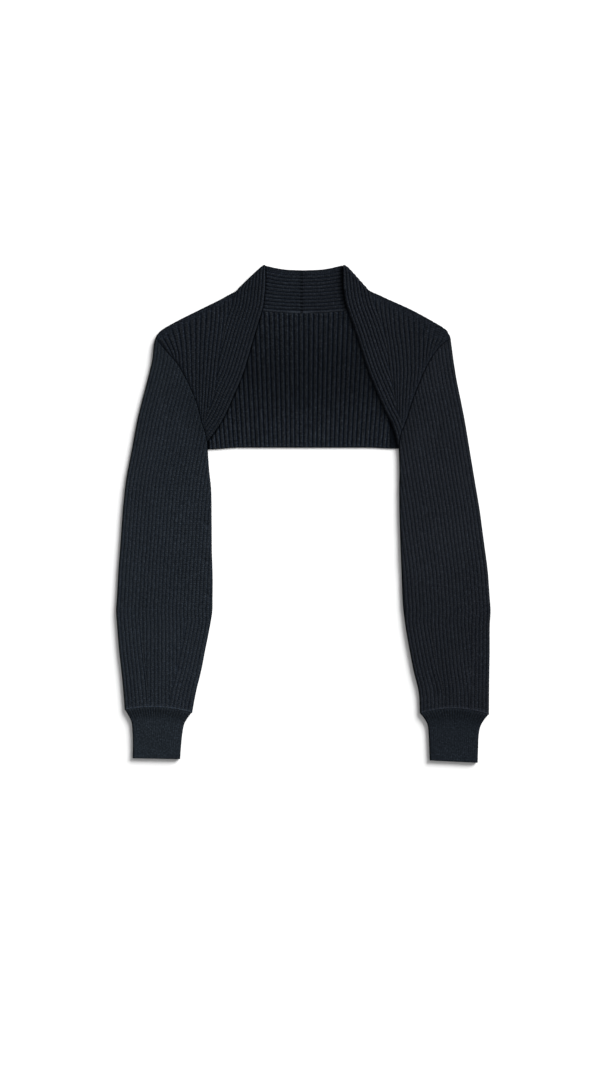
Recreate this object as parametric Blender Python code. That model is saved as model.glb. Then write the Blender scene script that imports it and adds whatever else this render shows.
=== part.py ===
"""A cropped rib-knit shrug with long sleeves and a shawl collar, laid flat on its back.

+X points to the wearer's left, +Y from the hem to the neck and +Z up from the surface below.
The origin is on that surface, under the middle of the garment. The lower layer is the back and
the collar halves behind the neck. The fronts lie on it, and each sleeve and cuff is a flat tube.
"""

from bisect import bisect_right
from collections import namedtuple
import math

import bmesh
import bpy
from mathutils import Matrix, Vector

# All sizes below are in millimetres, and MM brings them to metres.
MM = 0.001

# Knit: the pitch or number of ribs in each piece, and how far they stand up
SLEEVE_RIB = 5.4
BAND_RIB = 4.9
BACK_RIB = 6.3
COLLAR_RIBS = 12
CUFF_RIBS = 24
RELIEF = 1.0
CUFF_RELIEF = 0.5

# Layers, from the surface up
BACK_WALL = 2.0
FRONT_BASE = 3.3
FRONT_WALL = 2.3
SLOT_BOTTOM = 2.8
SLOT_TOP = 3.4
TOP = FRONT_BASE + FRONT_WALL
CUFF_TOP = TOP + 0.3

# Edges: half the gap of a seam, the width of a rounded edge and how far each kind goes down
SEAM = 0.2
LIP = 1.0
LIP_PART = 0.3
FOLD_DROP = 2.4
SHOULDER_DROP = 1.4
SEAM_DROP = 0.7
SELVEDGE_DROP = 0.9
FOLD_WALL = 3.4
FOLD_RADIUS = 2.7

# Places along the garment
NECK_Y = 322.0
SHOULDER_Y = 254.0
UNDERARM_Y = 95.5
DECREASE_Y = -155.0
CUFF_PULL_Y = -200.0
SLEEVE_END_Y = -286.0

# How far out the collar shows and ends, and the most that a sleeve and the back reach across
COLLAR_SHOWN = 57.0
COLLAR_END = 93.0
SLEEVE_WIDEST = 142.0
BACK_WIDEST = 188.0
SLEEVE_BAND = 35.5

# Half ribs across a front: its band's, then those from the shoulder, inward and outward
BAND_STEPS = 26
INWARD_STEPS = 8
OUTWARD_STEPS = 30

# The ribs from the shoulder fade in over a distance, and the back's spread towards the neck
SHOULDER_FADE = 18.0
MAIN_START_Y = 262.0
FAN = 0.126
FAN_TOP_Y = 273.0

SIGN = {"right": -1.0, "left": 1.0}

# The edges as laid out: how far out from the middle each side lies, a row for each section.
Edge = namedtuple("Edge", "y right left")

SHOULDER = (
    Edge(359.9, 57.3, 58.7),
    Edge(357.0, 62.0, 63.5),
    Edge(350.0, 69.8, 70.5),
    Edge(338.0, 81.8, 81.2),
    Edge(327.0, 92.8, 92.5),
    Edge(322.0, 97.7, 98.6),
    Edge(315.4, 110.2, 113.1),
    Edge(310.3, 120.3, 124.0),
    Edge(295.8, 149.3, 157.3),
    Edge(280.6, 179.8, 184.2),
    Edge(267.2, 201.5, 204.4),
    Edge(259.0, 210.0, 210.0),
    Edge(254.0, 212.6, 211.3),
)

ARMHOLE = (
    Edge(254.0, 212.6, 211.3),
    Edge(243.0, 205.0, 199.0),
    Edge(230.0, 194.0, 188.4),
    Edge(217.0, 182.6, 180.6),
    Edge(203.0, 174.3, 173.7),
    Edge(190.0, 167.2, 168.4),
    Edge(176.0, 160.9, 162.5),
    Edge(160.0, 154.7, 156.8),
    Edge(145.0, 150.6, 152.1),
    Edge(130.0, 146.8, 147.2),
    Edge(119.0, 142.7, 142.5),
    Edge(107.0, 140.0, 139.3),
    Edge(95.5, 138.6, 137.9),
)

FRONT_EDGE = (
    Edge(359.9, 55.2, 57.4),
    Edge(355.0, 55.4, 59.0),
    Edge(336.0, 55.1, 59.4),
    Edge(317.0, 56.5, 60.5),
    Edge(298.0, 58.7, 64.2),
    Edge(280.0, 63.4, 70.0),
    Edge(264.0, 68.2, 75.9),
    Edge(247.0, 73.4, 81.6),
    Edge(224.0, 80.0, 90.3),
    Edge(205.0, 85.8, 97.1),
    Edge(187.0, 92.9, 104.1),
    Edge(170.0, 100.9, 111.6),
    Edge(150.0, 109.9, 121.6),
    Edge(131.0, 119.7, 131.0),
    Edge(116.0, 130.0, 136.4),
    Edge(104.0, 138.6, 138.0),
)

# Where the band's ribs meet the ribs that come down from the shoulder
FASHION_LINE = (
    Edge(322.0, 97.7, 98.6),
    Edge(300.0, 104.5, 103.0),
    Edge(278.0, 111.5, 111.5),
    Edge(250.0, 117.5, 120.0),
    Edge(224.0, 122.5, 122.5),
    Edge(205.0, 124.5, 125.0),
    Edge(190.0, 125.5, 128.5),
    Edge(175.0, 128.5, 131.5),
    Edge(153.0, 136.0, 134.5),
    Edge(133.0, 144.0, 141.5),
    Edge(104.0, 152.0, 150.0),
)

SLEEVE_OUTER = (
    Edge(254.0, 213.0, 211.7),
    Edge(244.0, 215.6, 213.9),
    Edge(222.6, 218.9, 217.5),
    Edge(193.6, 225.5, 221.8),
    Edge(164.6, 233.2, 227.7),
    Edge(135.6, 240.3, 233.4),
    Edge(92.1, 248.4, 240.7),
    Edge(48.6, 256.6, 247.9),
    Edge(5.1, 261.4, 255.2),
    Edge(-38.4, 264.5, 261.0),
    Edge(-81.9, 267.8, 266.8),
    Edge(-120.0, 269.8, 269.6),
    Edge(-141.0, 271.0, 271.0),
    Edge(-162.0, 269.7, 269.8),
    Edge(-198.0, 266.8, 269.7),
    Edge(-241.4, 262.2, 269.0),
    Edge(-286.0, 255.2, 268.6),
)

UNDERARM = (
    Edge(95.5, 138.6, 137.9),
    Edge(63.1, 136.3, 138.9),
    Edge(34.1, 133.4, 138.6),
    Edge(-9.4, 132.7, 139.2),
    Edge(-52.9, 132.4, 140.7),
    Edge(-89.0, 131.3, 142.1),
    Edge(-125.0, 131.4, 143.5),
    Edge(-143.0, 131.9, 145.0),
    Edge(-169.0, 136.3, 148.6),
    Edge(-198.0, 142.1, 153.7),
    Edge(-227.0, 147.9, 159.5),
    Edge(-256.0, 155.2, 166.8),
    Edge(-286.0, 161.9, 169.8),
)

# Pitch of the ribs that come down from the shoulder
Pitch = namedtuple("Pitch", "y pitch")
MAIN_PITCH = (
    Pitch(262.0, 7.25),
    Pitch(240.0, 6.9),
    Pitch(200.0, 5.9),
    Pitch(150.0, 4.9),
    Pitch(104.0, 4.6),
)

# The collar behind the neck: how far out, then its two long edges
Collar = namedtuple("Collar", "out neck_y top_y")
COLLAR = (
    Collar(0.0, 290.7, 350.9),
    Collar(25.0, 291.2, 352.0),
    Collar(41.0, 292.1, 354.6),
    Collar(52.0, 293.0, 357.6),
    Collar(57.0, 293.6, 359.0),
    Collar(61.0, 294.2, 356.6),
    Collar(70.0, 297.5, 348.6),
    Collar(78.0, 302.0, 340.6),
    Collar(88.0, 311.5, 330.6),
    Collar(97.0, 321.5, 321.9),
)

# A cuff's seam and its lower end: the two ends of each, and how far it bows up between them
CuffLine = namedtuple("CuffLine", "outer_y inner_y bow")
CUFF_SEAM = {"right": CuffLine(-281.5, -286.0, 6.0), "left": CuffLine(-289.0, -287.0, 8.0)}
CUFF_END = {"right": CuffLine(-353.1, -354.5, 0.0), "left": CuffLine(-359.6, -356.2, 0.0)}

# A cuff's two edges, a row for each part of the way down from the seam
CuffRow = namedtuple("CuffRow", "down outer_right inner_right outer_left inner_left")
CUFF_ROWS = (
    CuffRow(0.0, 255.3, 162.3, 268.6, 169.6),
    CuffRow(0.1, 251.8, 167.4, 262.6, 175.4),
    CuffRow(0.24, 247.9, 172.7, 256.6, 181.0),
    CuffRow(0.43, 246.2, 175.4, 253.8, 182.7),
    CuffRow(0.74, 245.6, 177.6, 252.9, 183.7),
    CuffRow(1.0, 246.1, 178.8, 252.3, 184.4),
)

YARN_ROUGHNESS = 0.95
YARN = {
    "back": (0.0105, 0.0135, 0.0190),
    "front": (0.0125, 0.0155, 0.0215),
    "sleeve": (0.0150, 0.0190, 0.0260),
    "cuff": (0.0160, 0.0210, 0.0290),
}


def smooth(xs, ys, x):
    """Read a smooth curve through points with rising xs."""
    x = clamp(x, xs[0], xs[-1])
    at = min(bisect_right(xs, x) - 1, len(xs) - 2)

    def slope(k):
        low, high = max(k - 1, 0), min(k + 1, len(xs) - 1)
        return (ys[high] - ys[low]) / (xs[high] - xs[low])

    span = xs[at + 1] - xs[at]
    t = (x - xs[at]) / span
    start = ys[at] * (1 + 2 * t) * (1 - t) ** 2 + slope(at) * span * t * (1 - t) ** 2
    end = ys[at + 1] * t * t * (3 - 2 * t) - slope(at + 1) * span * t * t * (1 - t)
    return start + end


def read(table, column, at, by="y"):
    """Read a column of a table on a smooth curve."""
    rows = sorted(table, key=lambda row: getattr(row, by))
    return smooth([getattr(row, by) for row in rows], [getattr(row, column) for row in rows], at)


def slant(table, side, y):
    """How much longer a level step across is than the same step square to an edge."""
    step = 4.0
    run = read(table, side, y + step) - read(table, side, y - step)
    return math.hypot(1.0, run / (2 * step))


def clamp(value, low, high):
    return min(max(value, low), high)


def spread(start, end, step):
    """Even places from start to end, about a step apart."""
    count = max(1, round(abs(end - start) / step))
    return [start + (end - start) * k / count for k in range(count + 1)]


# The back, the fronts and the sleeves share these rows, so their armhole edges stay parallel.
ARMHOLE_ROWS = spread(SHOULDER_Y - 1.5, UNDERARM_Y + 13.0, 12.0)


def body_armhole(side, y):
    """The armhole edge of the back and of a front, half a seam's gap inside the seam."""
    return read(ARMHOLE, side, y) - SEAM * slant(ARMHOLE, side, y)


def new_object(name, mesh):
    data = bpy.data.meshes.new(name)
    mesh.to_mesh(data)
    mesh.free()
    return bpy.data.objects.new(name, data)


def slab(name, grid, base):
    """A closed wall: a grid of points is its upper face, and its underside is level at base."""
    mesh = bmesh.new()
    rows = [[mesh.verts.new(Vector(point) * MM) for point in row] for row in grid]
    for near, far in zip(rows, rows[1:]):
        for corners in zip(near, near[1:], far[1:], far):
            mesh.faces.new(corners)
    bmesh.ops.remove_doubles(mesh, verts=mesh.verts, dist=0.01 * MM)
    rim = [e for e in mesh.edges if e.is_boundary]
    skirt = bmesh.ops.extrude_edge_only(mesh, edges=rim)["geom"]
    for item in skirt:
        if isinstance(item, bmesh.types.BMVert):
            item.co.z = base * MM
    hem = [e for e in skirt if isinstance(e, bmesh.types.BMEdge) and e.is_boundary]
    bmesh.ops.contextual_create(mesh, geom=hem)
    bmesh.ops.recalc_face_normals(mesh, faces=mesh.faces)
    return new_object(name, mesh)


def across(side, points, y):
    """Place a section's points, given as how far out and how high, on its side."""
    return [(SIGN[side] * out, y, z) for out, z in points]


def sleeve_inner(side, y):
    """A sleeve's inner edge: the armhole, and below it the underarm."""
    if y > UNDERARM_Y:
        return read(ARMHOLE, side, y) + SEAM * slant(ARMHOLE, side, y)
    return read(UNDERARM, side, y)


def sleeve_line(side, y, down):
    """Where the line that starts down from a sleeve's outer edge lies at y, and its limits.

    Above DECREASE_Y each line follows the outer edge. Below it a band at each side follows
    its own edge, and the lines between the bands run straight on until they meet a band.
    """
    outer = read(SLEEVE_OUTER, side, y)
    inner = sleeve_inner(side, y)
    lip = min(LIP, (outer - inner) / 4)
    if y > DECREASE_Y or down <= SLEEVE_BAND:
        return outer - down, inner + 2 * lip, outer - lip
    start = read(SLEEVE_OUTER, side, DECREASE_Y)
    width = start - sleeve_inner(side, DECREASE_Y)
    if down > width - SLEEVE_BAND:
        return inner + width - down, inner + 2 * lip, inner + SLEEVE_BAND
    return start - down, inner + SLEEVE_BAND, outer - SLEEVE_BAND


def sleeve_section(side, y):
    """A sleeve's upper face at y, from its outer edge to its inner one."""
    outer = read(SLEEVE_OUTER, side, y)
    inner = sleeve_inner(side, y)
    lip = min(LIP, (outer - inner) / 4)
    inner_drop = SEAM_DROP if y > UNDERARM_Y else FOLD_DROP
    points = [(outer, TOP - FOLD_DROP), (outer - lip, TOP - LIP_PART * FOLD_DROP)]
    for step in range(1, int(2 * SLEEVE_WIDEST / SLEEVE_RIB)):
        place, low, high = sleeve_line(side, y, step * SLEEVE_RIB / 2)
        crest = RELIEF if step % 2 and low < place < high else 0.0
        points.append((clamp(place, low, high), TOP + crest))
    points.append((inner + lip, TOP - LIP_PART * inner_drop))
    points.append((inner, TOP - inner_drop))
    return points


def line_y(line, part):
    """How far up a cuff's line lies, part of the way from its outer to its inner end."""
    return line.outer_y + (line.inner_y - line.outer_y) * part + line.bow * 4 * part * (1 - part)


def sleeve(side):
    """A flat tube: its ribs follow the outer edge, and lower down some end at two lines."""
    rows = ARMHOLE_ROWS + [UNDERARM_Y + 6.0, UNDERARM_Y]
    rows += spread(UNDERARM_Y - 42.0, DECREASE_Y, 42.0)
    rows += spread(DECREASE_Y - 32.0, SLEEVE_END_Y + 32.0, 32.0)
    rows += [SLEEVE_END_Y + 2.0, SLEEVE_END_Y]
    grid = []
    for y in rows:
        points = sleeve_section(side, y)
        outer, inner = points[0][0], points[-1][0]
        pull = clamp((CUFF_PULL_Y - y) / (CUFF_PULL_Y - SLEEVE_END_Y), 0.0, 1.0)
        row = []
        for out, z in points:
            part = (outer - out) / (outer - inner)
            lift = (line_y(CUFF_SEAM[side], part) + SEAM - SLEEVE_END_Y) * pull
            if y == SLEEVE_END_Y:
                z = min(z, TOP - SEAM_DROP)
            row.append((SIGN[side] * out, y + lift, z))
        grid.append(row)
    return slab("sleeve_" + side, grid, 0.0)


def sleeve_slot(side):
    """The inside of a sleeve, open at the armhole and at the cuff."""
    rows = spread(SHOULDER_Y - 10.0, UNDERARM_Y + 6.0, 9.0)
    rows += spread(UNDERARM_Y, SLEEVE_END_Y - 14.0, 25.0)
    grid = []
    for y in rows:
        outer = read(SLEEVE_OUTER, side, y) - FOLD_WALL
        inner = sleeve_inner(side, y) + (-FOLD_WALL if y > UNDERARM_Y else FOLD_WALL)
        grid.append(across(side, [(outer, SLOT_TOP), (inner, SLOT_TOP)], y))
    return slab("sleeve_slot_" + side, grid, SLOT_BOTTOM)


def cuff_point(side, down, part, inset, z):
    """A point on a cuff, by the parts of its way down and of its way across."""
    outer = read(CUFF_ROWS, "outer_" + side, down, by="down") - inset
    inner = read(CUFF_ROWS, "inner_" + side, down, by="down") + inset
    top = line_y(CUFF_SEAM[side], part) - SEAM
    y = top + (line_y(CUFF_END[side], part) - top) * down
    return (SIGN[side] * (outer + (inner - outer) * part), y, z)


def cuff(side):
    """A flat tube of fine ribs that fan out to the width of the sleeve."""
    steps = 2 * CUFF_RIBS
    grid = []
    for down in (0.0, 0.03, 0.12, 0.24, 0.43, 0.98, 1.0):
        row = []
        for step in range(steps + 1):
            z = CUFF_TOP + (CUFF_RELIEF if step % 2 else 0.0)
            if down in (0.0, 1.0):
                z = CUFF_TOP - SEAM_DROP
            if step in (0, steps):
                z = CUFF_TOP - FOLD_DROP
            row.append(cuff_point(side, down, step / steps, 0.0, z))
        grid.append(row)
    return slab("cuff_" + side, grid, 0.0)


def cuff_slot(side):
    """The inside of a cuff, open at both ends."""
    grid = []
    for down in (-0.1, 0.0, 0.1, 0.24, 0.43, 0.74, 1.1):
        grid.append([cuff_point(side, down, part, FOLD_WALL, SLOT_TOP) for part in (0.0, 1.0)])
    return slab("cuff_slot_" + side, grid, SLOT_BOTTOM)


def front_section(side, y):
    """A front's upper face at y, from its front edge out to the shoulder or the armhole.

    The band's ribs follow the front edge. Those from the shoulder keep their distance from the
    fashion line, and both kinds end where they meet it.
    """
    over_shoulder = y > SHOULDER_Y
    near = read(FRONT_EDGE, side, y)
    outer = read(SHOULDER, side, y) if over_shoulder else body_armhole(side, y)
    lip = min(LIP, (outer - near) / 5)
    limit = outer - 2 * lip
    line = limit if y > NECK_Y else clamp(read(FASHION_LINE, side, y), near + 2 * lip, limit)
    points = [(near, TOP - SELVEDGE_DROP)]
    half_rib = BAND_RIB / 2 * slant(FRONT_EDGE, side, y)
    for step in range(1, BAND_STEPS):
        place = near + step * half_rib
        crest = RELIEF if step % 2 and place < line else 0.0
        points.append((min(place, line), TOP + crest))
    start_y = min(y, MAIN_START_Y)
    start = read(FASHION_LINE, side, start_y)
    half_rib = read(MAIN_PITCH, "pitch", start_y) / 2
    for step in range(-INWARD_STEPS, OUTWARD_STEPS):
        place = start + step * half_rib
        fade = clamp((outer - place) / SHOULDER_FADE, 0.0, 1.0) if over_shoulder else 1.0
        crest = RELIEF * fade if step % 2 and line < place < limit else 0.0
        points.append((clamp(place, line, limit), TOP + crest))
    drop = SHOULDER_DROP if over_shoulder else SEAM_DROP
    points.append((outer - lip, TOP - LIP_PART * drop))
    points.append((outer, TOP - drop))
    return points


def front(side):
    """A front, without the half of the collar that folds back under it beside the neck."""
    rows = spread(359.0, NECK_Y, 7.5)
    rows += spread(NECK_Y - 8.5, SHOULDER_Y + 8.0, 8.5)
    rows += [SHOULDER_Y + 1.0] + ARMHOLE_ROWS
    grid = [across(side, front_section(side, y), y) for y in rows]
    return slab("front_" + side, grid, FRONT_BASE)


def collar_half(side):
    """The collar behind the neck, as far as its fold: its ribs run level, from side to side."""
    steps = 2 * COLLAR_RIBS
    grid = []
    for out in spread(SEAM, COLLAR_SHOWN, 19.0) + spread(COLLAR_SHOWN + 4.0, COLLAR_END, 11.0):
        low = read(COLLAR, "neck_y", out, by="out") + SEAM
        high = read(COLLAR, "top_y", out, by="out")
        shown = SEAM < out <= COLLAR_SHOWN
        column = []
        for step in range(steps + 1):
            crest = RELIEF if step % 2 and shown else 0.0
            y = low + (high - low) * step / steps
            column.append((SIGN[side] * out, y, BACK_WALL + crest))
        grid.append(column)
    return slab("collar_half_" + side, grid, 0.0)


def collar_fold(side):
    """The rounded fold that carries the band over into the collar."""
    height = FOLD_RADIUS + 0.1
    ends = [Vector((SIGN[side] * read(SHOULDER, side, y), y, height)) for y in (354.5, 329.5)]
    along = ends[1] - ends[0]
    inward = Vector((-SIGN[side], -1.0, 0.0)).normalized() * (FOLD_RADIUS + 0.15)
    place = Matrix.Translation(((ends[0] + ends[1]) / 2 + inward) * MM)
    mesh = bmesh.new()
    bmesh.ops.create_cone(
        mesh,
        cap_ends=True,
        segments=12,
        radius1=FOLD_RADIUS * MM,
        radius2=FOLD_RADIUS * MM,
        depth=along.length * MM,
        matrix=place @ along.to_track_quat("Z", "Y").to_matrix().to_4x4(),
    )
    return new_object("collar_fold_" + side, mesh)


def fan(y):
    """How much wider the back's ribs stand at y than at the hem."""
    return 1.0 + FAN * (y - UNDERARM_Y) / (FAN_TOP_Y - UNDERARM_Y)


def crossing(hem_out, low, high, beyond):
    """Where between low and high a line of the back crosses an edge."""
    for _ in range(40):
        middle = (low + high) / 2
        if beyond(hem_out * fan(middle), middle):
            high = middle
        else:
            low = middle
    return low


def back_column(side, hem_out):
    """One line down the back, from its upper edge to its lower one."""

    def past_shoulder(out, y):
        return out > read(SHOULDER, side, y)

    def past_neck(out, y):
        return y > read(COLLAR, "neck_y", out, by="out") - SEAM

    def inside_armhole(out, y):
        return out < body_armhole(side, y)

    at_neck = hem_out * fan(NECK_Y) < COLLAR[-1].out
    high = crossing(hem_out, SHOULDER_Y, NECK_Y, past_neck if at_neck else past_shoulder)
    low = UNDERARM_Y
    if not inside_armhole(hem_out, UNDERARM_Y):
        low = crossing(hem_out, UNDERARM_Y, SHOULDER_Y, inside_armhole)
    crest = RELIEF * (1 - abs(2 * hem_out / BACK_RIB % 2 - 1))
    lip = min(1.5, (high - low) / 4)
    column = [(SIGN[side] * hem_out * fan(low), low, BACK_WALL)]
    for y in spread(low + lip, high - lip, (high - low - 2 * lip) / 4):
        column.append((SIGN[side] * hem_out * fan(y), y, BACK_WALL + crest))
    column.append((SIGN[side] * hem_out * fan(high), high, BACK_WALL))
    return column


def back():
    """The back: its ribs spread a little from the hem up to the shoulders."""
    grid = []
    for side in ("right", "left"):
        joints = [body_armhole(side, y) / fan(y) for y in ARMHOLE_ROWS + [UNDERARM_Y]]
        places = [step * BACK_RIB / 2 for step in range(int(2 * BACK_WIDEST / BACK_RIB))]
        places = [out for out in places if min(abs(out - joint) for joint in joints) > 0.5]
        columns = [back_column(side, out) for out in sorted(places + joints)]
        grid += columns[:0:-1] if side == "right" else columns
    return slab("back_panel", grid, 0.0)


def yarn(name, colour):
    material = bpy.data.materials.new(name)
    material.use_nodes = True
    shader = material.node_tree.nodes["Principled BSDF"]
    shader.inputs["Base Color"].default_value = (*colour, 1.0)
    shader.inputs["Roughness"].default_value = YARN_ROUGHNESS
    shader.inputs["Metallic"].default_value = 0.0
    return material


def combine(piece, tool, operation, tools):
    """Cut a tool out of a piece, or join it to the piece."""
    tools.objects.link(tool)
    tool.hide_render = True
    tool.display_type = "WIRE"
    step = piece.modifiers.new(tool.name, "BOOLEAN")
    step.operation = operation
    step.object = tool
    step.solver = "EXACT"
    return piece


def build():
    for old in list(bpy.data.objects):
        bpy.data.objects.remove(old, do_unlink=True)
    parts = bpy.data.collections.new("ribbed_shrug")
    tools = bpy.data.collections.new("cutters")
    for group in (parts, tools):
        bpy.context.scene.collection.children.link(group)
    pieces = [back()]
    for side in SIGN:
        folded = combine(front(side), collar_fold(side), "UNION", tools)
        pieces.append(combine(folded, collar_half(side), "UNION", tools))
        pieces.append(combine(sleeve(side), sleeve_slot(side), "DIFFERENCE", tools))
        pieces.append(combine(cuff(side), cuff_slot(side), "DIFFERENCE", tools))
    for piece in pieces:
        piece.data.materials.append(yarn(piece.name, YARN[piece.name.split("_")[0]]))
        parts.objects.link(piece)


build()
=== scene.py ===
"""The cropped ribbed sweater as it looks: rib-knit cloth laid flat on a pale floor.

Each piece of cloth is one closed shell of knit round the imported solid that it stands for. Lengths
in the tables are millimetres in the part's own frame, and left and right are the wearer's.
"""

import math
from bisect import bisect_right
from collections import namedtuple

import bmesh
import bpy
from bpy.props import FloatProperty, FloatVectorProperty, PointerProperty
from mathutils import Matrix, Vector


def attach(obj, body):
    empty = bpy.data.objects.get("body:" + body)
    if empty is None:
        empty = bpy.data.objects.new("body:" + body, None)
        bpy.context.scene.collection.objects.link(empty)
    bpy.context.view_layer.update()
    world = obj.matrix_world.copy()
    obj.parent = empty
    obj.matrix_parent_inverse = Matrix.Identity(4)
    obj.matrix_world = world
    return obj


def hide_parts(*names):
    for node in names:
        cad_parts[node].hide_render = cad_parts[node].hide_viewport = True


bl_info = {
    "name": "Ribbed sweater",
    "version": (1, 0, 0),
    "blender": (4, 5, 0),
    "location": "3D View > Sidebar > Sweater",
    "description": "Knits the pieces of a cropped ribbed sweater round its packed solids",
    "category": "Object",
}

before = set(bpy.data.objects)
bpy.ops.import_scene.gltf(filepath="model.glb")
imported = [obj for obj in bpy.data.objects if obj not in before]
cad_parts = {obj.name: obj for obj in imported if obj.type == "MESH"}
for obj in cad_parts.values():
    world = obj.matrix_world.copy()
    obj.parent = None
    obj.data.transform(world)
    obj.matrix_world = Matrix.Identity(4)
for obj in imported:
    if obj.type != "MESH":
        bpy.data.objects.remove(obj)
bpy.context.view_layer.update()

MM = 0.001
SIDES = {"right": -1.0, "left": 1.0}

# Knit: the width of a rib in each piece and along the shoulders, how many ribs there are where that
# is fixed, how many of the band's turn over at the fold, and a course inside the sleeves
SLEEVE_RIB = 5.4
BAND_RIB = 4.9
BACK_RIB = 6.3
SHOULDER_RIB = 7.25
CUFF_RIBS = 24
BAND_RIBS = 12
FOLDED_RIBS = 8.5
INSIDE_COURSE = 2.2

# Layers, from the floor up, and the heights where the two faces of a tube or of the back meet
BACK_WALL = 2.0
FRONT_BASE = 3.3
SLOT_BOTTOM = 2.8
SLOT_TOP = 3.4
TOP = 5.6
CUFF_TOP = 5.9
MIDDLE = 2.8
BACK_MIDDLE = 1.0

# Seams: how far the cloth keeps off a seam's line (it goes past it, which closes the seam), how far
# it sinks there, the painted highlight along the body's side of an armhole seam, how far a piece
# laps the next, and where the middle seam of the collar lies
SEAM = -0.1
SEAM_DROP = 0.8
SHOULDER_DROP = 2.2
SEAM_RIDGE_HIGHLIGHT = 0.15
NECK_LAP = 1.4
CENTRE_LAP = 0.5
CUFF_LAP = 0.8
CENTRE_X = -2.7

# Edges: the rounding of a cut edge and of a fold, a fold's walls, the painted highlight on the
# selvedge, and how wide the front edges curl and how far down, as a part of the way
LIP = 1.2
FOLD = 2.7
FOLD_WALL = 3.4
INNER_FOLD = 0.6
SELVEDGE_HIGHLIGHT = 0.12
FRONT_LIP = {"right": 1.2, "left": 6.0}
FRONT_CURL = {"right": 0.5, "left": 0.92}

# How wide the hollows along the lines of decreases are
SLEEVE_LINE = 1.6
FRONT_LINE = 1.4

# Places along the garment
FOLD_TOP_Y = 359.9
NECK_Y = 322.0
FAN_TOP_Y = 273.0
SHOULDER_Y = 254.0
UNDERARM_Y = 95.5
FRONT_TIP_Y = {"right": 104.0, "left": 94.8}
DECREASE_Y = -155.0
CUFF_PULL_Y = -200.0
SLEEVE_END_Y = -286.0

# The back: how much its ribs fan out, how far its hem dips and over which ribs, and the flat patch
# at each end of the hem, laid in painted shade with a darker border: where it starts, where it ends
# at the top, and over what height it fades
FAN = 0.126
HEM_DIP = {"right": 2.4, "left": 1.5}
HEM_DIP_RIBS = (92.0, 134.0)
POCKET = {"right": (135.0, 107.0, 5.0), "left": (123.7, 150.0, 14.0)}

# The fronts: over what width their ribs flatten towards the shoulder and towards the armhole
SHOULDER_FADE = {"right": 31.0, "left": 50.0}
SEAM_FADE = {"right": 2.5, "left": 9.0}

# The collar: how far out it shows, how its ribs are spaced and where the first one starts
COLLAR_SHOWN = 57.0
COLLAR_PITCH = 1.034
COLLAR_START = 0.485

# The sleeves: the widest one laid flat, the bands beyond the two lines of decreases, and how much
# the middle ribs follow the inner edge below the place where the lines begin
SLEEVE_WIDEST = 142.0
SLEEVE_BAND = 35.5
OUTER_BAND = {"right": 35.5, "left": 27.5}
SLEEVE_LEAN = {"right": 0.0, "left": 0.5}

# Painted shade, laid into the cloth's colour. A shadow is full up to a distance from its edge and
# then goes softly. A dusk comes between two heights.
Shadow = namedtuple("Shadow", "dark full soft")
Dusk = namedtuple("Dusk", "dark start end")
# Painted shade where an edge turns away from the light
EDGE_TURN_SHADE = Shadow(1.0, 0.0, 1.9)
SEAM_SHADOW = Shadow(0.9, 0.0, 1.5)
FRONT_SHADOW = {"right": Shadow(0.97, 1.2, 1.8), "left": Shadow(0.15, 0.2, 2.0)}
# Painted shade along the rolled edge of the right front, ending between the two heights below
FRONT_ROLL_SHADE = {"right": Shadow(0.3, 0.0, 3.2), "left": Shadow(0.0, 0.0, 1.0)}
FRONT_ROLL_END = (280.0, 300.0)
ARMHOLE_SHADOW = {"right": Shadow(0.22, 0.0, 42.0), "left": Shadow(0.21, 0.0, 34.0)}
ARMHOLE_SHADOW_START = (84.0, 110.0)
ARMHOLE_SHADOW_END = (140.0, 200.0)
CUFF_SHADOW = {"right": Shadow(0.41, 5.0, 19.0), "left": Shadow(0.36, 5.0, 26.0)}
SLEEVE_DUSK = {"right": Dusk(0.1, 60.0, 180.0), "left": Dusk(0.14, -60.0, -140.0)}
BACK_DUSK = Dusk(0.42, 100.0, 195.0)
NECK_LIGHT = Dusk(0.5, 205.0, 300.0)

# The painted shade in the notches between the collar and the front edges: how far it reaches in
# a groove, and how dark it is at the front edge and away from it
NotchShade = namedtuple("NotchShade", "reach at_edge away")
COLLAR_NOTCH_SHADE = {"right": NotchShade(6.5, 0.95, 0.95), "left": NotchShade(17.0, 0.4, 0.85)}

# How finely the knit is laid out: steps in a rib, rows along each piece, and the parts of the way
# across a front's lip and its underside
FINE = 6
COARSE = 3
BAND_STEPS = BAND_RIBS * FINE
MAIN_STEPS = range(-4 * FINE, 15 * FINE + 1)
SLEEVE_ROWS = 150
INSIDE_ROWS = 10
CUFF_ROWS_SHOWN = 34
BACK_ROWS = 60
COLLAR_ROWS = 40
EDGE_STEPS = (0.0, 0.5, 1.2, 2.1)
FOLD_STEPS = (0.0, 0.2, 0.6)
LIP_PARTS = (0.4, 0.75, 1.0)
UNDER_PARTS = (0.0, 0.2, 0.4, 0.6, 0.8)
WELD = 0.0002

# The picture: how many millimetres of the floor its height takes in, and where its middle is, then
# the way to the main light and how far the floor keeps below the cloth
VIEW_HEIGHT = 0.9973 * 1069 * 1.45
VIEW_MIDDLE = (-2.0, -30.3)
LIGHT_FROM = (0.62, 0.62, 0.355)
FLOOR_GAP = 0.15


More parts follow.
